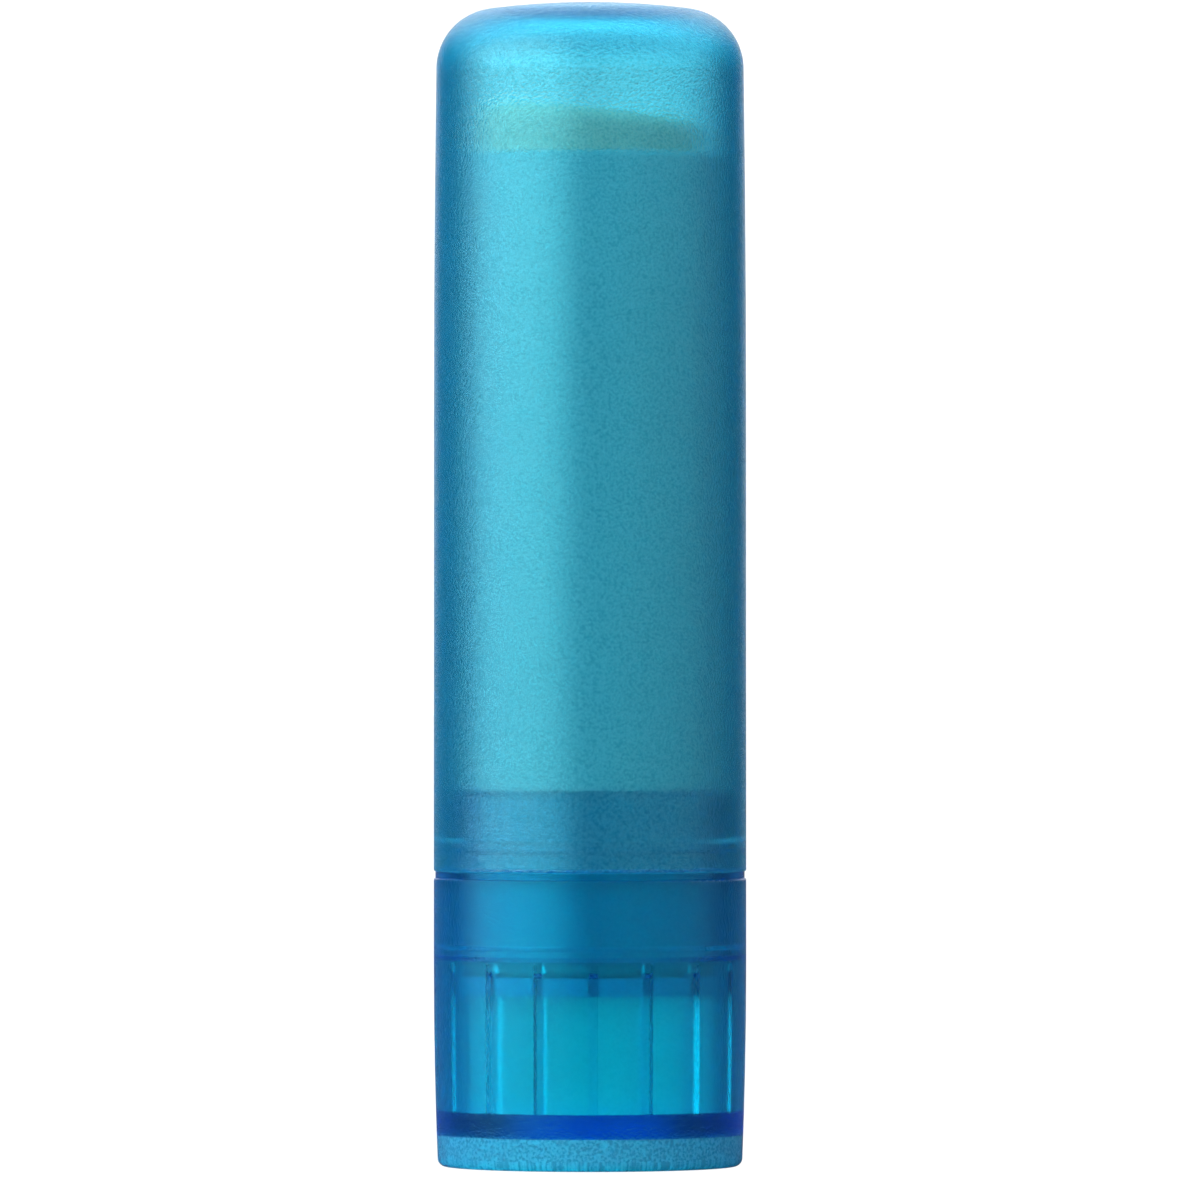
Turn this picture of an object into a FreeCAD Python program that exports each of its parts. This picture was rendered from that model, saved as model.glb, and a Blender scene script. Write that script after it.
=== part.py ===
import FreeCAD, Part
import math
import os

# A closed twist-up lip balm stick of moulded plastic, standing on z = 0 with its axis on Z.
# All lengths are in millimetres and all angles in degrees.

# Outline of the stick
body_radius = 9.4
outer_edge_round = 0.12

# Twist base: a cup with a floor, a foot rim and upright ribs inside
base_height = 17.35
base_wall = 1.05
base_straight = 4.95
foot_inset = 0.25
foot_edge_round = 0.5
foot_recess = 1.9
foot_rim_wall = 1.25
floor_thickness = 1.5
rib_count = 16
rib_width = 0.5
rib_lead_in = 0.3
first_rib_angle = -88.6

# Neck ring: a skirt in the base, a thin flange at the seam and a collar in the cap
ring_wall = 0.75
flange_thickness = 0.36
flange_inset = 0.1
skirt_depth = 4.95
collar_height = 4.95
collar_chamfer_share = 0.5
grip_bead_height = 1.6
grip_bead_width = 0.8
snap_bead_depth = 4.45
snap_bead_width = 0.8
snap_bead_rise = 0.08
bead_crest_share = 0.4

# Tube that holds the balm, with a web across its foot, a stop ring under the neck ring and guide ribs
tube_wall = 0.8
tube_length = 49.3
web_thickness = 1.0
tube_rim_round = 0.3
stop_ring_height = 0.5
stop_ring_rise = 0.3
guide_rib_count = 4
first_guide_angle = 45.0
guide_rib_height = 0.35
guide_rib_width = 0.8
guide_below_rim = 3.0

# Lifting screw, snapped into the web, on a drive disc that the ribs of the base turn
disc_drop = 2.0
disc_thickness = 1.1
core_radius = 1.7
thread_depth = 0.9
thread_lead = 4.0
thread_root_width = 1.8
thread_crest_width = 1.1
thread_sink = 0.3
shoulder_thickness = 0.8
shoulder_rise = 0.4
screw_below_rim = 4.0
screw_tip_chamfer = 0.5

# Carrier: a lift cup with a threaded hub
carrier_skirt = 3.4
carrier_skirt_wall = 0.8
platform_thickness = 1.4
cup_depth = 3.0
cup_wall = 0.6
hub_wall = 1.4
hub_proud = 1.6

# Balm, poured round the screw, with a top that falls towards +X
balm_proud = 3.3
balm_fall = 1.3
balm_edge_round = 1.1
balm_over_screw = 1.0
balm_round_screw = 0.3

# Cap: a thin bell with a rounded shoulder and a shallow dome
cap_headroom = 4.58
cap_wall = 1.0
cap_top_thickness = 1.2
cap_straight = 27.0
cap_top_inset = 0.2
cap_crown = 0.9
cap_shoulder_round = 3.6
cap_lead_in = 0.25
cap_groove_depth = 0.08

# Clearances, overruns and tolerances
seat_clearance = 0.02
press_clearance = 0.02
twist_clearance = 0.08
cap_clearance = 0.13
bead_clearance = 0.03
slide_clearance = 0.1
thread_clearance = 0.12
rib_clearance = 0.12
disc_clearance = 0.08
stop_clearance = 0.1
groove_clearance = 0.06
cut_overrun = 1.0
same_place = 0.001

full_turn = 360
axis = FreeCAD.Vector(0, 0, 1)
outward = FreeCAD.Vector(1, 0, 0)
origin = FreeCAD.Vector(0, 0, 0)

# Heights, from the foot up
floor_top = foot_recess + floor_thickness
flange_bottom = base_height + seat_clearance
flange_top = flange_bottom + flange_thickness
cap_mouth = flange_top + seat_clearance
skirt_bottom = flange_bottom - skirt_depth
collar_top = flange_top + collar_height
grip_bead_at = flange_top + grip_bead_height
snap_bead_at = flange_bottom - snap_bead_depth
stop_ring_top = skirt_bottom - press_clearance
stop_ring_bottom = stop_ring_top - stop_ring_height
rib_step = stop_ring_bottom - stop_clearance
rib_top = skirt_bottom - stop_clearance
disc_bottom = skirt_bottom - disc_drop
disc_top = disc_bottom + disc_thickness
tube_bottom = disc_top + stop_clearance
web_top = tube_bottom + web_thickness
tube_rim = tube_bottom + tube_length
guide_top = tube_rim - guide_below_rim
shoulder_bottom = web_top + stop_clearance
shoulder_top = shoulder_bottom + shoulder_thickness
carrier_bottom = shoulder_top + stop_clearance
platform_bottom = carrier_bottom + carrier_skirt
platform_top = platform_bottom + platform_thickness
cup_rim = platform_top + cup_depth
hub_top = platform_top + hub_proud
screw_top = tube_rim - screw_below_rim
thread_start = shoulder_top + thread_root_width / 4
balm_top = tube_rim + balm_proud
cap_ceiling = balm_top + cap_headroom
cap_apex = cap_ceiling + cap_top_thickness

# Radii, from the wall in
foot_radius = body_radius - foot_inset
cap_top_radius = body_radius - cap_top_inset
base_bore = body_radius - base_wall
skirt_radius = base_bore - twist_clearance
snap_bead_radius = base_bore + snap_bead_rise
ring_bore = skirt_radius - ring_wall
cap_bore = body_radius - cap_wall
collar_radius = cap_bore - cap_clearance
grip_bead_radius = cap_bore - bead_clearance
tube_radius = ring_bore - press_clearance
tube_bore = tube_radius - tube_wall
stop_ring_radius = tube_radius + stop_ring_rise
rib_tip = tube_radius + rib_clearance
rib_step_tip = stop_ring_radius + rib_clearance
disc_radius = base_bore - disc_clearance
guide_tip = tube_bore - guide_rib_height
carrier_radius = tube_bore - slide_clearance
cup_bore = carrier_radius - cup_wall
crest_radius = core_radius + thread_depth
hub_radius = crest_radius + thread_clearance + hub_wall
shoulder_radius = crest_radius + shoulder_rise


def at(radius, height):
    """A point of an outline in the XZ plane."""
    return FreeCAD.Vector(radius, 0, height)


def line(start, end):
    return Part.LineSegment(start, end).toShape()


def tangent_arc(start, direction, end):
    """An arc from start to end that leaves start along a direction."""
    chord = end - start
    along = FreeCAD.Vector(chord).normalize()
    side = direction - along * direction.dot(along)
    side.normalize()
    lean = direction.getAngle(chord)
    middle = (start + end) / 2 + side * (chord.Length / 2 * math.tan(lean / 2))
    return Part.Arc(start, middle, end).toShape()


def ease(start, end):
    """A curve that leaves start upright or downright and leans in gently to end."""
    curve = Part.BezierCurve()
    curve.setPoles([start, at(start.x, (start.z + end.z) / 2), end])
    return curve.toShape()


def turned(edges):
    """A solid turned about Z from a closed chain of edges in the XZ plane."""
    return Part.Face(Part.Wire(edges)).revolve(origin, axis, full_turn)


def lathe(points):
    """A solid turned about Z from the corners of its outline, as (radius, height)."""
    corners = [at(radius, height) for radius, height in points]
    edges = [line(a, b) for a, b in zip(corners, corners[1:] + corners[:1])]
    return turned(edges)


def cylinder(radius, bottom, top):
    return Part.makeCylinder(radius, top - bottom, at(0, bottom))


def round_edge(solid, radius, height):
    """The circular edge of a turned solid at one radius and height."""
    for edge in solid.Edges:
        curve = edge.Curve
        if not isinstance(curve, Part.Circle):
            continue
        if abs(curve.Radius - radius) < same_place and abs(curve.Center.z - height) < same_place:
            return edge
    raise ValueError(f"no edge at radius {radius} and height {height}")


def fin(points, width, angle):
    """A flat radial fin of one outline and width, turned about Z to an angle."""
    corners = [at(radius, height) for radius, height in points]
    face = Part.Face(Part.makePolygon(corners + corners[:1]))
    face.translate(FreeCAD.Vector(0, -width / 2, 0))
    solid = face.extrude(FreeCAD.Vector(0, width, 0))
    solid.rotate(origin, axis, angle)
    return solid


def fins(points, width, count, first_angle):
    """Equal fins spaced evenly round the axis."""
    return [fin(points, width, first_angle + full_turn * i / count) for i in range(count)]


def bead(radius, crest, height, width):
    """The outline of a bead on a wall, from its lower edge to its upper edge."""
    half = width / 2
    half_crest = half * bead_crest_share
    return [
        (radius, height - half),
        (crest, height - half_crest),
        (crest, height + half_crest),
        (radius, height + half),
    ]


def groove_ring(bore, bottom_radius, height, width):
    """The ring to cut from a bore for a groove that takes a bead."""
    inside = bore - cut_overrun
    half = width / 2
    walls = bead(bore, bottom_radius, height, width)
    return lathe([(inside, height - half)] + walls + [(inside, height + half)])


def helical_rib(outer, widening, start, end):
    """A right-hand rib wound about Z, its inner edge sunk into the screw's core."""
    inner = core_radius - thread_sink
    root_half = thread_root_width / 2 + widening
    crest_half = thread_crest_width / 2 + widening
    corners = [
        at(inner, start - root_half),
        at(outer, start - crest_half),
        at(outer, start + crest_half),
        at(inner, start + root_half),
    ]
    straight_sided = 0
    path = Part.makeLongHelix(thread_lead, end - start, outer, straight_sided)
    path.translate(at(0, start))
    section = Part.makePolygon(corners + corners[:1])
    return Part.Wire(path.Edges).makePipeShell([section], True, True)


def base_outline():
    """The solid outline of the base, its wall easing in towards the foot."""
    ease_top = base_height - base_straight
    outline = turned([
        line(at(0, 0), at(foot_radius, 0)),
        ease(at(body_radius, ease_top), at(foot_radius, 0)),
        line(at(body_radius, ease_top), at(body_radius, base_height)),
        line(at(body_radius, base_height), at(0, base_height)),
        line(at(0, base_height), at(0, 0)),
    ])
    outline = outline.makeFillet(foot_edge_round, [round_edge(outline, foot_radius, 0)])
    return outline.makeFillet(outer_edge_round, [round_edge(outline, body_radius, base_height)])


def twist_base():
    base = base_outline()
    base = base.cut(cylinder(base_bore, floor_top, base_height + cut_overrun))
    base = base.cut(cylinder(foot_radius - foot_rim_wall, -cut_overrun, foot_recess))
    groove_radius = snap_bead_radius + groove_clearance
    groove_width = snap_bead_width + 2 * groove_clearance
    base = base.cut(groove_ring(base_bore, groove_radius, snap_bead_at, groove_width))
    rib_root = base_bore + base_wall / 2
    rib = [
        (rib_root, floor_top - floor_thickness / 2),
        (rib_tip, floor_top - floor_thickness / 2),
        (rib_tip, rib_step - rib_lead_in),
        (rib_step_tip, rib_step),
        (rib_step_tip, rib_top),
        (rib_root, rib_top),
    ]
    return base.fuse(fins(rib, rib_width, rib_count, first_rib_angle)).removeSplitter()


def neck_ring():
    collar_chamfer = (collar_radius - ring_bore) * collar_chamfer_share
    return lathe(
        [(ring_bore, skirt_bottom), (skirt_radius, skirt_bottom)]
        + bead(skirt_radius, snap_bead_radius, snap_bead_at, snap_bead_width)
        + [
            (skirt_radius, flange_bottom),
            (body_radius - flange_inset, flange_bottom),
            (body_radius - flange_inset, flange_top),
            (collar_radius, flange_top),
        ]
        + bead(collar_radius, grip_bead_radius, grip_bead_at, grip_bead_width)
        + [
            (collar_radius, collar_top - collar_chamfer),
            (collar_radius - collar_chamfer, collar_top),
            (ring_bore, collar_top),
        ]
    )


def balm_tube():
    tube = cylinder(tube_radius, tube_bottom, tube_rim)
    tube = tube.cut(cylinder(tube_bore, web_top, tube_rim + cut_overrun))
    rim = [round_edge(tube, tube_radius, tube_rim), round_edge(tube, tube_bore, tube_rim)]
    tube = tube.makeFillet(tube_rim_round, rim)
    middle_of_wall = tube_radius - tube_wall / 2
    stop_ring = lathe([
        (middle_of_wall, stop_ring_bottom),
        (stop_ring_radius, stop_ring_bottom),
        (stop_ring_radius, stop_ring_top),
        (middle_of_wall, stop_ring_top),
    ])
    guide_foot = web_top - web_thickness / 2
    guide = [
        (guide_tip, guide_foot),
        (middle_of_wall, guide_foot),
        (middle_of_wall, guide_top),
        (tube_bore, guide_top),
        (guide_tip, guide_top - guide_rib_height),
    ]
    guides = fins(guide, guide_rib_width, guide_rib_count, first_guide_angle)
    tube = tube.fuse([stop_ring] + guides)
    screw_hole = cylinder(crest_radius + thread_clearance, tube_bottom - cut_overrun, web_top + cut_overrun)
    return tube.cut(screw_hole).removeSplitter()


def guide_slots(bottom, top):
    """Slots that let a piece in the tube slide along the guide ribs."""
    slot_floor = guide_tip - slide_clearance
    slot = [
        (slot_floor, bottom),
        (tube_radius, bottom),
        (tube_radius, top),
        (slot_floor, top),
    ]
    width = guide_rib_width + 2 * slide_clearance
    return fins(slot, width, guide_rib_count, first_guide_angle)


def drive_disc():
    """A disc with a notch for each rib of the base."""
    notch_floor = rib_tip - disc_clearance
    notch = [
        (notch_floor, disc_bottom - cut_overrun),
        (body_radius, disc_bottom - cut_overrun),
        (body_radius, disc_top + cut_overrun),
        (notch_floor, disc_top + cut_overrun),
    ]
    width = rib_width + 2 * disc_clearance
    disc = cylinder(disc_radius, disc_bottom, disc_top)
    return disc.cut(fins(notch, width, rib_count, first_rib_angle))


def screw_spindle():
    neck = cylinder(crest_radius, disc_bottom, shoulder_top)
    shoulder = cylinder(shoulder_radius, shoulder_bottom, shoulder_top)
    shoulder = shoulder.makeChamfer(shoulder_rise, [round_edge(shoulder, shoulder_radius, shoulder_top)])
    core = cylinder(core_radius, disc_bottom, screw_top)
    core = core.makeChamfer(screw_tip_chamfer, [round_edge(core, core_radius, screw_top)])
    thread_end = screw_top - screw_tip_chamfer - thread_root_width / 2
    thread = helical_rib(crest_radius, 0, thread_start, thread_end)
    return core.fuse([drive_disc(), neck, shoulder, thread]).removeSplitter()


def balm_carrier():
    carrier = cylinder(carrier_radius, carrier_bottom, cup_rim)
    skirt_bore = carrier_radius - carrier_skirt_wall
    carrier = carrier.cut(cylinder(skirt_bore, carrier_bottom - cut_overrun, platform_bottom))
    carrier = carrier.cut(cylinder(cup_bore, platform_top, cup_rim + cut_overrun))
    carrier = carrier.fuse(cylinder(hub_radius, carrier_bottom, hub_top))
    slots = guide_slots(carrier_bottom - cut_overrun, cup_rim + cut_overrun)
    bore_bottom = carrier_bottom - cut_overrun
    bore = cylinder(core_radius + thread_clearance, bore_bottom, hub_top + cut_overrun)
    groove_radius = crest_radius + thread_clearance
    groove = helical_rib(groove_radius, thread_clearance, thread_start - thread_lead, hub_top + thread_lead)
    return carrier.cut(slots + [bore, groove]).removeSplitter()


def balm_stick():
    shelf = cup_rim + press_clearance
    balm = cylinder(carrier_radius, shelf, balm_top)
    reach = 2 * carrier_radius
    slope = balm_fall / (2 * carrier_radius)
    middle_top = balm_top - balm_fall / 2
    above = [
        (-reach, middle_top + slope * reach),
        (reach, middle_top - slope * reach),
        (reach, balm_top + reach),
        (-reach, balm_top + reach),
    ]
    balm = balm.cut(fin(above, 2 * reach, 0))
    top_edge = max(balm.Edges, key=lambda edge: edge.CenterOfMass.z)
    balm = balm.makeFillet(balm_edge_round, [top_edge])
    balm = balm.fuse(cylinder(cup_bore - press_clearance, platform_top, shelf))
    below = platform_top - cut_overrun
    hub_pocket = cylinder(hub_radius + press_clearance, below, hub_top + press_clearance)
    screw_pocket = cylinder(crest_radius + balm_round_screw, below, screw_top + balm_over_screw)
    slots = guide_slots(below, guide_top + slide_clearance)
    return balm.cut(slots + [hub_pocket, screw_pocket]).removeSplitter()


def bell(thickness, bottom, apex):
    """The outside of the cap, or with a thickness the space inside it."""
    radius = body_radius - thickness
    top_radius = cap_top_radius - thickness
    ease_start = cap_mouth + cap_straight
    wall_top = apex - cap_crown
    solid = turned([
        line(at(0, bottom), at(radius, bottom)),
        line(at(radius, bottom), at(radius, ease_start)),
        ease(at(radius, ease_start), at(top_radius, wall_top)),
        tangent_arc(at(0, apex), outward, at(top_radius, wall_top)),
        line(at(0, apex), at(0, bottom)),
    ])
    return solid.makeFillet(cap_shoulder_round - thickness, [round_edge(solid, top_radius, wall_top)])


def cap():
    shell = bell(0, cap_mouth, cap_apex)
    shell = shell.makeFillet(outer_edge_round, [round_edge(shell, body_radius, cap_mouth)])
    shell = shell.cut(bell(cap_wall, cap_mouth - cut_overrun, cap_ceiling))
    shell = shell.makeChamfer(cap_lead_in, [round_edge(shell, cap_bore, cap_mouth)])
    groove_radius = cap_bore + cap_groove_depth
    groove_width = grip_bead_width + 2 * groove_clearance
    return shell.cut(groove_ring(cap_bore, groove_radius, grip_bead_at, groove_width)).removeSplitter()


os.makedirs("parts", exist_ok=True)
for make in (cap, twist_base, neck_ring, balm_tube, screw_spindle, balm_carrier, balm_stick):
    make().exportStep(f"parts/{make.__name__}.step")
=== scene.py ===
"""A closed twist-up lip balm stick in frosted see-through blue plastic, standing on a white table."""

import math

import bpy
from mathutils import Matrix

MM = 0.001

# Camera for the square picture: a long lens, level with the middle of the stick
CAMERA_DISTANCE = 830 * MM
CAMERA_HEIGHT = 34.66 * MM
PICTURE_WIDTH = 71.0 * MM
SENSOR_WIDTH = 36.0
CLIP_FACTOR = 100

# See-through plastics: how much red, green and blue light one millimetre takes away
CAP_DYE = (1.05, 0.13, 0.03)
BASE_DYE = (3.4, 0.135, 0.008)
NECK_DYE = (3.8, 0.2, 0.015)
TUBE_DYE = (0.2, 0.05, 0.002)
DYE_HEADROOM = 1.05
PLASTIC_INDEX = 1.49

# Their surfaces: the tint of their gloss, and the tint, strength and roughness of a broad soft sheen
CAP_GLOSS = (0.38, 0.76, 0.7)
BASE_GLOSS = (0.08, 0.66, 0.95)
CAP_SHEEN = (0.0, 0.43, 0.82)
BASE_SHEEN = (0.0, 0.2, 0.68)
SHEEN_SHARE = 0.27
SHEEN_ROUGHNESS = 0.8

# Their roughness, outside from least to most, and inside
CAP_ROUGHNESS = (0.2, 0.28)
CAP_INNER_ROUGHNESS = 0.12
BASE_ROUGHNESS = (0.22, 0.28)
BASE_INNER_ROUGHNESS = 0.3
SMOOTH_ROUGHNESS = (0.15, 0.2)
SMOOTH_INNER_ROUGHNESS = 0.1
MOTTLE = 0.62 * MM

# Points on the axis that the outside of each shell faces away from, by their height
CAP_MIDDLE = 40 * MM
BASE_MIDDLE = 10 * MM
NECK_MIDDLE = 17.5 * MM
TUBE_MIDDLE = 35 * MM

# Fine grain of the cap's mould, how much darker the painted shade in its hollows is, how much brighter the
# painted glint on its tops is, and how much of both the others have
GRAIN = 0.155 * MM
GRAIN_DEPTH = 0.042 * MM
GRAIN_EDGES = (0.32, 0.58)
# Painted shade: the share of red, green and blue kept in the grain's hollows
PAINTED_SHADE_SHARES = (0.4, 0.52, 0.56)
# How deep the painted shade in the grain's hollows goes
GRAIN_SHADE_SHARE = 0.58
# Painted glint: how much brighter the gloss tint is on the grain's tops
PAINTED_GLINT_FACTOR = 1.35
BASE_GRAIN_AND_SHADE_SHARE = 1 / 3
SMOOTH_GRAIN_AND_SHADE_SHARE = 0.2
NOISE_DETAIL = 2

# The base's foot: a smooth clear wall round a coarsely grained, cloudy recess with painted sparkle, painted
# shade in its coarse hollows and painted glint on its tops
COARSE_GRAIN = 0.18 * MM
COARSE_DEPTH = 0.12 * MM
COARSE_EDGES = (0.36, 0.62)
# Painted sparkle: how deep the painted shade goes in the recess's coarse hollows
COARSE_SHADE_SHARE = 0.9
FOOT_TOP = 1.95 * MM
RECESS_RADIUS = 8.3 * MM
FOOT_ROUGHNESS = 0.1
RECESS_ROUGHNESS = 0.5
FOOT_CLEAR_SHARE = 0.975
RECESS_CLEAR_SHARE = 0.05
FOOT_GRAIN_SHARE = 0.05

# The tube is cloudy, with painted shade over its foot, inside the base. The other shells have a clear body
TUBE_CLEAR_SHARE = 0.5
TUBE_BODY = (0.65, 0.93, 0.9)
# Top of the painted shade over the tube's foot
TUBE_FOOT_TOP = 12.42 * MM
CLEAR_BODY = (1, 1, 1)

# Milky pieces: a paler and a deeper colour each
SCREW_COLOURS = ((0.03, 0.3, 0.5), (0.02, 0.25, 0.44))
CARRIER_COLOURS = ((0.87, 0.88, 0.87), (0.8, 0.83, 0.83))
BALM_COLOURS = ((0.88, 0.64, 0.5), (0.82, 0.57, 0.42))

# Milky pieces: roughness from least to most, depth of their bumps, and light that spreads within
MILKY_ROUGHNESS = (0.35, 0.45)
MILKY_BUMP_DEPTH = 0.004 * MM
MILKY_SPREAD_SHARE = 0.3
MILKY_SPREAD = 0.6 * MM
BALM_ROUGHNESS = (0.4, 0.55)
BALM_BUMP_DEPTH = 0.02 * MM
BALM_SPREAD_SHARE = 0.5
BALM_SPREAD = 1.2 * MM
SPREAD_COLOUR_SHARES = (1.0, 0.75, 0.5)
CLOUD = 2.5 * MM
CLOUD_DETAIL = 4
MILKY_PATCH = 0.5 * MM
MILKY_BUMP = 0.6 * MM
MILKY_BUMP_DETAIL = 3

# Studio: lights round the stick by their bearing from straight behind it, half width (degrees) and strength
BACKDROP = (0, 28, 1.02)
LEFT_LIGHT = (-121, 54, 5.9)
RIGHT_LIGHT = (124, 62, 1.55)
FRONT_LIGHT = (180, 50, 0.5)

# The light from above, which leans back, the dark between the lights, and the white that the camera sees
TOP_LIGHT = 1.65
TOP_EDGES = (0.45, 0.8)
TOP_TILT = 0.3
DARK = 0.02
WHITE = 1.15

# White table
FLOOR_RADIUS = 3.0
FLOOR_CORNERS = 96
FLOOR_TONE = 0.05
FLOOR_ROUGHNESS = 0.8
FLOOR_GLOW = 1.0

# How often light may bounce, for the many walls behind each other
BOUNCES = 32
GLOSSY_BOUNCES = 12


def new_material(name):
    """A material with its node tree emptied but for a shader and an output, wired together."""
    mat = bpy.data.materials.new(name)
    mat.use_nodes = True
    tree = mat.node_tree
    tree.nodes.clear()
    out = tree.nodes.new("ShaderNodeOutputMaterial")
    shader = tree.nodes.new("ShaderNodeBsdfPrincipled")
    tree.links.new(shader.outputs["BSDF"], out.inputs["Surface"])
    return mat, tree, shader


def wire(tree, value, socket):
    """Feeds a socket with another socket or with a plain number."""
    if isinstance(value, (int, float)):
        socket.default_value = value
    else:
        tree.links.new(value, socket)


def calc(tree, operation, *values):
    """The outcome of one arithmetic step on sockets or numbers."""
    node = tree.nodes.new("ShaderNodeMath")
    node.operation = operation
    for value, socket in zip(values, node.inputs):
        wire(tree, value, socket)
    return node.outputs["Value"]


def weighted(tree, x, y, x_weight, y_weight):
    """The sum of x and y, each times its weight."""
    return calc(tree, "ADD", calc(tree, "MULTIPLY", x, x_weight), calc(tree, "MULTIPLY", y, y_weight))


def blended(tree, share, low, high):
    """low where share is zero and high where it is one."""
    node = tree.nodes.new("ShaderNodeMix")
    node.data_type = "FLOAT"
    wire(tree, share, node.inputs["Factor"])
    wire(tree, low, node.inputs["A"])
    wire(tree, high, node.inputs["B"])
    return node.outputs["Result"]


def shaded(tree, share, low, high):
    """A colour that runs from low to high with share."""
    node = tree.nodes.new("ShaderNodeMix")
    node.data_type = "RGBA"
    tree.links.new(share, node.inputs["Factor"])
    colours = [socket for socket in node.inputs if socket.type == "RGBA"]
    for socket, colour in zip(colours, (low, high)):
        socket.default_value = (*colour, 1)
    return [socket for socket in node.outputs if socket.type == "RGBA"][0]


def eased(tree, value, start, end, low, high):
    """Goes smoothly from low at start to high at end."""
    node = tree.nodes.new("ShaderNodeMapRange")
    node.interpolation_type = "SMOOTHSTEP"
    tree.links.new(value, node.inputs["Value"])
    node.inputs["From Min"].default_value = start
    node.inputs["From Max"].default_value = end
    node.inputs["To Min"].default_value = low
    node.inputs["To Max"].default_value = high
    return node.outputs["Result"]


def coordinates(tree, output="Object"):
    """Where on the object, or in which direction, a point is."""
    return tree.nodes.new("ShaderNodeTexCoord").outputs[output]


def axes(tree, vector):
    """The x, y and z of a vector."""
    split = tree.nodes.new("ShaderNodeSeparateXYZ")
    tree.links.new(vector, split.inputs["Vector"])
    return split.outputs


def noise(tree, size, detail=NOISE_DETAIL):
    """A noise texture in object space whose blobs are about size across."""
    node = tree.nodes.new("ShaderNodeTexNoise")
    node.inputs["Scale"].default_value = 1 / size
    node.inputs["Detail"].default_value = detail
    tree.links.new(coordinates(tree), node.inputs["Vector"])
    return node.outputs["Fac"]


def bump(tree, height, depth):
    """A normal with bumps of that depth."""
    node = tree.nodes.new("ShaderNodeBump")
    node.inputs["Strength"].default_value = 1.0
    node.inputs["Distance"].default_value = depth
    tree.links.new(height, node.inputs["Height"])
    return node.outputs["Normal"]


def facing_out(tree, middle):
    """One where the surface faces away from the axis's point at that height, and zero where it faces it."""
    reach = tree.nodes.new("ShaderNodeVectorMath")
    reach.operation = "SUBTRACT"
    reach.inputs[1].default_value = (0, 0, middle)
    tree.links.new(coordinates(tree), reach.inputs[0])
    lean = tree.nodes.new("ShaderNodeVectorMath")
    lean.operation = "DOT_PRODUCT"
    tree.links.new(reach.outputs["Vector"], lean.inputs[0])
    tree.links.new(coordinates(tree, "Normal"), lean.inputs[1])
    behind = tree.nodes.new("ShaderNodeNewGeometry").outputs["Backfacing"]
    side = calc(tree, "SUBTRACT", 1, calc(tree, "MULTIPLY", 2, behind))
    return calc(tree, "GREATER_THAN", calc(tree, "MULTIPLY", lean.outputs["Value"], side), 0)


def foot_places(tree):
    """Two shares: one at the foot, and one near the axis, as the recess under the foot is."""
    x, y, z = axes(tree, coordinates(tree))
    near_axis = calc(tree, "LESS_THAN", weighted(tree, x, y, x, y), RECESS_RADIUS**2)
    return calc(tree, "LESS_THAN", z, FOOT_TOP), near_axis


def coarse_foot(tree, shader, rough, grain, painted_light_share, clear_share):
    """Roughness, grain and painted light share of a shell whose foot is clear round a coarse, cloudy recess
    with painted sparkle.
    """
    low, near_axis = foot_places(tree)
    coarse = noise(tree, COARSE_GRAIN)
    foot_rough = blended(tree, near_axis, FOOT_ROUGHNESS, RECESS_ROUGHNESS)
    foot_grain = calc(tree, "MULTIPLY", coarse, blended(tree, near_axis, FOOT_GRAIN_SHARE, 1))
    foot_clear_share = blended(tree, near_axis, FOOT_CLEAR_SHARE, RECESS_CLEAR_SHARE)
    # Painted sparkle: the recess's coarse hollows get painted shade and its tops painted glint
    painted_sparkle = eased(tree, coarse, *COARSE_EDGES, 1 - COARSE_SHADE_SHARE, 1)
    in_recess = calc(tree, "MULTIPLY", low, near_axis)
    tree.links.new(blended(tree, low, clear_share, foot_clear_share), shader.inputs["Transmission Weight"])
    rough = blended(tree, low, rough, foot_rough)
    grain = blended(tree, low, grain, foot_grain)
    return rough, grain, blended(tree, in_recess, painted_light_share, painted_sparkle)


def dye_through(tree, dye):
    """Fills a solid with dye, given as what one millimetre takes away."""
    inside = tree.nodes.new("ShaderNodeVolumeAbsorption")
    strongest = DYE_HEADROOM * max(dye)
    inside.inputs["Color"].default_value = [1 - part / strongest for part in dye] + [1]
    inside.inputs["Density"].default_value = strongest / MM
    tree.links.new(inside.outputs["Volume"], tree.get_output_node("ALL").inputs["Volume"])


def in_painted_shade(colour):
    """A colour with painted shade, as the grain's hollows and the tube's foot get."""
    return [part * share for part, share in zip(colour, PAINTED_SHADE_SHARES)]


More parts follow.
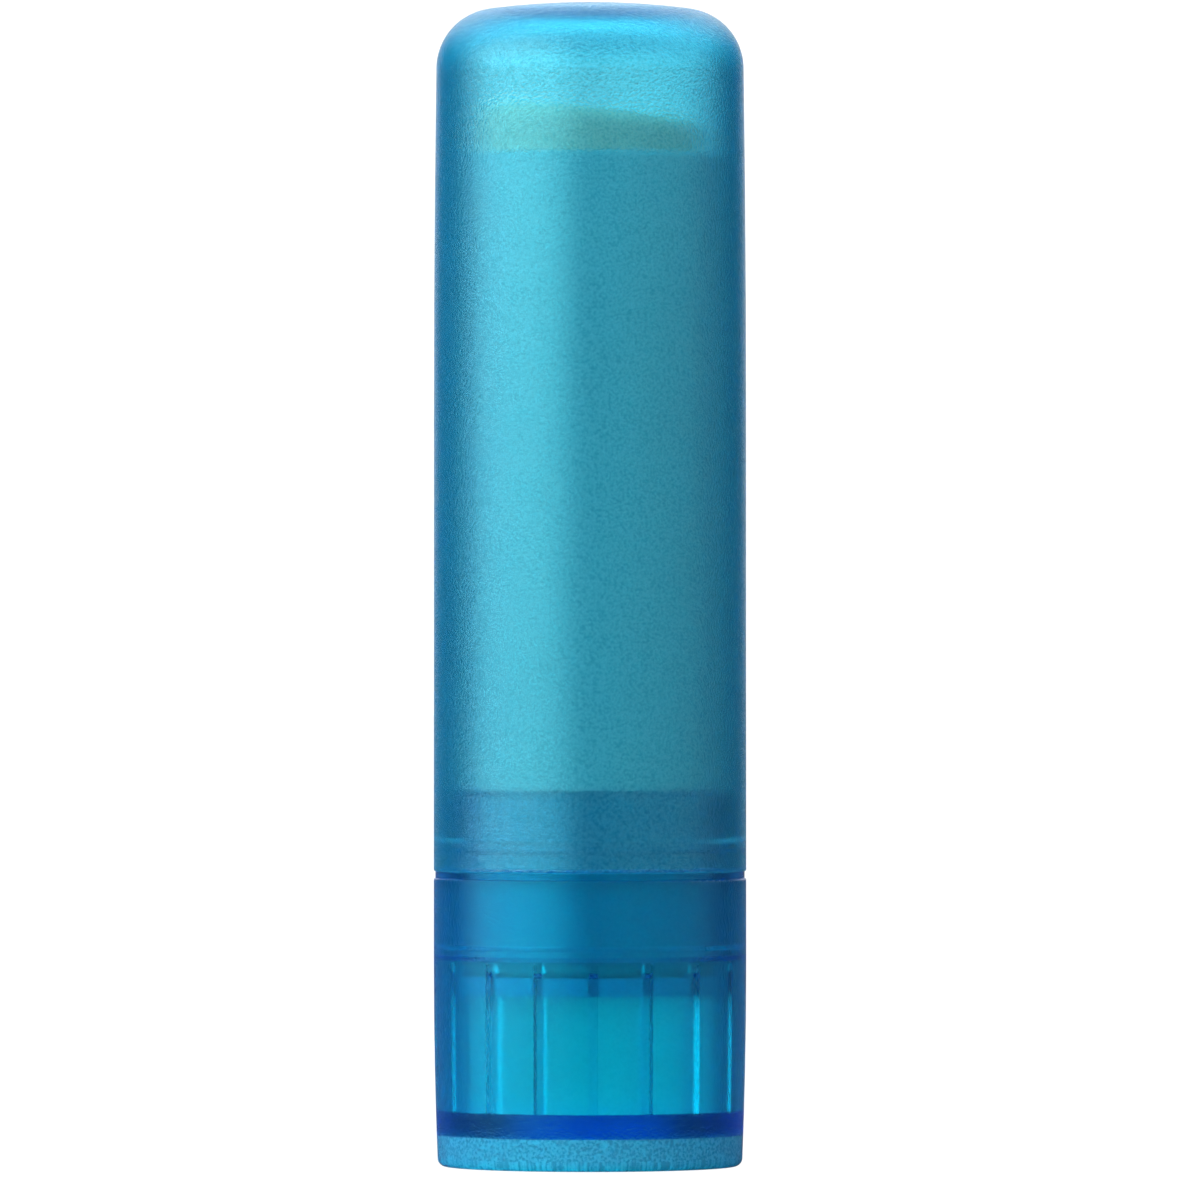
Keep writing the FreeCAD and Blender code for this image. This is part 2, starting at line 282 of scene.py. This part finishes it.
def see_through(
    name, dye, gloss, sheen, rough_out, rough_in, middle, grain_and_shade_share=1, clear_share=1, body=CLEAR_BODY,
    foot=False, painted_shade_below=0,
):
    """Dyed see-through plastic, finely grained outside and plain inside, with painted shade in the grain's
    hollows and painted glint on its tops.
    """
    mat, tree, shader = new_material(name)
    shader.inputs["Transmission Weight"].default_value = clear_share
    shader.inputs["IOR"].default_value = PLASTIC_INDEX
    shader.inputs["Sheen Weight"].default_value = SHEEN_SHARE
    shader.inputs["Sheen Roughness"].default_value = SHEEN_ROUGHNESS
    shader.inputs["Sheen Tint"].default_value = (*sheen, 1)
    outside = facing_out(tree, middle)
    rough = blended(tree, outside, rough_in, blended(tree, noise(tree, MOTTLE), *rough_out))
    fine = noise(tree, GRAIN)
    depth_share = calc(tree, "MULTIPLY", outside, grain_and_shade_share * GRAIN_DEPTH / COARSE_DEPTH)
    grain = calc(tree, "MULTIPLY", fine, depth_share)
    # Painted shade in the grain's hollows and painted glint on its tops, from the same noise as the bumps
    speck_shade_share = eased(tree, fine, *GRAIN_EDGES, 1 - grain_and_shade_share * GRAIN_SHADE_SHARE, 1)
    painted_light_share = blended(tree, outside, 1, speck_shade_share)
    if foot:
        rough, grain, painted_light_share = coarse_foot(tree, shader, rough, grain, painted_light_share, clear_share)
    # Painted shade over everything below the given height
    if painted_shade_below:
        above = calc(tree, "GREATER_THAN", axes(tree, coordinates(tree))["Z"], painted_shade_below)
        painted_light_share = calc(tree, "MULTIPLY", painted_light_share, above)
    # Painted glint: the gloss tint is brighter on the grain's tops and darker in its hollows
    painted_glint = [min(1, part * PAINTED_GLINT_FACTOR) for part in gloss]
    tree.links.new(shaded(tree, painted_light_share, in_painted_shade(body), body), shader.inputs["Base Color"])
    tree.links.new(shaded(tree, painted_light_share, in_painted_shade(gloss), painted_glint), shader.inputs["Specular Tint"])
    tree.links.new(rough, shader.inputs["Roughness"])
    tree.links.new(bump(tree, grain, COARSE_DEPTH), shader.inputs["Normal"])
    dye_through(tree, dye)
    return mat


def milky(name, colours, rough, bump_depth, spread_share, spread):
    """Milky plastic or wax: cloudy, softly lit from within and faintly uneven."""
    mat, tree, shader = new_material(name)
    clouds = noise(tree, CLOUD, CLOUD_DETAIL)
    bumps = noise(tree, MILKY_BUMP, MILKY_BUMP_DETAIL)
    tree.links.new(shaded(tree, clouds, *colours), shader.inputs["Base Color"])
    tree.links.new(blended(tree, noise(tree, MILKY_PATCH), *rough), shader.inputs["Roughness"])
    tree.links.new(bump(tree, bumps, bump_depth), shader.inputs["Normal"])
    shader.inputs["Subsurface Weight"].default_value = spread_share
    shader.inputs["Subsurface Radius"].default_value = SPREAD_COLOUR_SHARES
    shader.inputs["Subsurface Scale"].default_value = spread
    return mat


def cap_look():
    """Frosted and finely grained, with painted shade and painted glint on the grain."""
    return see_through(
        "cap_frosted", CAP_DYE, CAP_GLOSS, CAP_SHEEN, CAP_ROUGHNESS, CAP_INNER_ROUGHNESS, CAP_MIDDLE,
    )


def base_look():
    """Deeper blue and less grained than the cap, with a coarse foot whose recess has painted sparkle."""
    return see_through(
        "base_frosted", BASE_DYE, BASE_GLOSS, BASE_SHEEN, BASE_ROUGHNESS, BASE_INNER_ROUGHNESS,
        BASE_MIDDLE, grain_and_shade_share=BASE_GRAIN_AND_SHADE_SHARE, foot=True,
    )


def neck_look():
    """Smooth, in the base's blue."""
    return see_through(
        "neck_clear", NECK_DYE, BASE_GLOSS, BASE_SHEEN, SMOOTH_ROUGHNESS, SMOOTH_INNER_ROUGHNESS,
        NECK_MIDDLE, grain_and_shade_share=SMOOTH_GRAIN_AND_SHADE_SHARE,
    )


def tube_look():
    """Smooth, cloudy and lightly tinted, with painted shade over its foot inside the base."""
    return see_through(
        "tube_clear", TUBE_DYE, CAP_GLOSS, CAP_SHEEN, SMOOTH_ROUGHNESS, SMOOTH_INNER_ROUGHNESS,
        TUBE_MIDDLE, grain_and_shade_share=SMOOTH_GRAIN_AND_SHADE_SHARE, clear_share=TUBE_CLEAR_SHARE, body=TUBE_BODY,
        painted_shade_below=TUBE_FOOT_TOP,
    )


def milky_plastic(name, colours):
    """Moulded plastic of the pieces inside."""
    return milky(name, colours, MILKY_ROUGHNESS, MILKY_BUMP_DEPTH, MILKY_SPREAD_SHARE, MILKY_SPREAD)


def balm_look():
    """Soft wax."""
    return milky("balm_wax", BALM_COLOURS, BALM_ROUGHNESS, BALM_BUMP_DEPTH, BALM_SPREAD_SHARE, BALM_SPREAD)


def world_light():
    """The light of the room by direction. The camera itself sees white all round."""
    world = bpy.data.worlds.new("studio")
    bpy.context.scene.world = world
    world.use_nodes = True
    tree = world.node_tree
    tree.nodes.clear()
    x, y, z = axes(tree, coordinates(tree, "Generated"))
    level = calc(tree, "SQRT", weighted(tree, x, y, x, y))
    room = DARK
    for bearing, half_width, strength in (BACKDROP, LEFT_LIGHT, RIGHT_LIGHT, FRONT_LIGHT):
        turn = math.radians(bearing)
        along = weighted(tree, x, y, math.sin(turn), math.cos(turn))
        lean = calc(tree, "DIVIDE", along, level)
        lobe = eased(tree, lean, math.cos(math.radians(half_width)), 1, 0, strength)
        room = calc(tree, "ADD", room, lobe)
    height = calc(tree, "ADD", z, calc(tree, "MULTIPLY", y, TOP_TILT))
    room = blended(tree, eased(tree, height, *TOP_EDGES, 0, 1), room, TOP_LIGHT)
    path = tree.nodes.new("ShaderNodeLightPath")
    shine = tree.nodes.new("ShaderNodeBackground")
    shine.inputs["Color"].default_value = (1, 1, 1, 1)
    tree.links.new(blended(tree, path.outputs["Is Camera Ray"], room, WHITE), shine.inputs["Strength"])
    out = tree.nodes.new("ShaderNodeOutputWorld")
    tree.links.new(shine.outputs["Background"], out.inputs["Surface"])


def floor():
    """A white table, which the camera sees as bright as the room."""
    bpy.ops.mesh.primitive_circle_add(vertices=FLOOR_CORNERS, radius=FLOOR_RADIUS, fill_type="NGON")
    table = bpy.context.object
    table.name = "floor"
    mat, tree, shader = new_material("white_table")
    shader.inputs["Base Color"].default_value = (FLOOR_TONE, FLOOR_TONE, FLOOR_TONE, 1)
    shader.inputs["Roughness"].default_value = FLOOR_ROUGHNESS
    shader.inputs["Specular IOR Level"].default_value = 0
    shader.inputs["Emission Color"].default_value = (1, 1, 1, 1)
    path = tree.nodes.new("ShaderNodeLightPath")
    glow = calc(tree, "MULTIPLY", path.outputs["Is Camera Ray"], FLOOR_GLOW)
    tree.links.new(glow, shader.inputs["Emission Strength"])
    table.data.materials.append(mat)


def camera():
    """A camera at the photograph's angle."""
    data = bpy.data.cameras.new("camera")
    data.sensor_width = SENSOR_WIDTH
    data.lens = SENSOR_WIDTH * CAMERA_DISTANCE / PICTURE_WIDTH
    data.clip_start = CAMERA_DISTANCE / CLIP_FACTOR
    data.clip_end = CAMERA_DISTANCE * CLIP_FACTOR
    eye = bpy.data.objects.new("camera", data)
    eye.location = (0, -CAMERA_DISTANCE, CAMERA_HEIGHT)
    eye.rotation_euler = (math.radians(90), 0, 0)
    bpy.context.scene.collection.objects.link(eye)
    bpy.context.scene.camera = eye


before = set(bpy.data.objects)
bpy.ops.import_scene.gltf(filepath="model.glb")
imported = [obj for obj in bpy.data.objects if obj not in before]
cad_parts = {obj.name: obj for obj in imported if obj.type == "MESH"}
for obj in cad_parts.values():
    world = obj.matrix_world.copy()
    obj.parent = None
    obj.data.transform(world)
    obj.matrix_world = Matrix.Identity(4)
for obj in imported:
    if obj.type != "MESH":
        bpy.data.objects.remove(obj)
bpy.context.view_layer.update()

looks = {
    "cap": cap_look(),
    "twist_base": base_look(),
    "neck_ring": neck_look(),
    "balm_tube": tube_look(),
    "screw_spindle": milky_plastic("screw_blue", SCREW_COLOURS),
    "balm_carrier": milky_plastic("carrier_milky", CARRIER_COLOURS),
    "balm_stick": balm_look(),
}
for name, mat in looks.items():
    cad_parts[name].material_slots[0].material = mat

world_light()
floor()
camera()

scene = bpy.context.scene
scene.view_settings.view_transform = "Standard"
scene.cycles.max_bounces = BOUNCES
scene.cycles.transmission_bounces = BOUNCES
scene.cycles.glossy_bounces = GLOSSY_BOUNCES
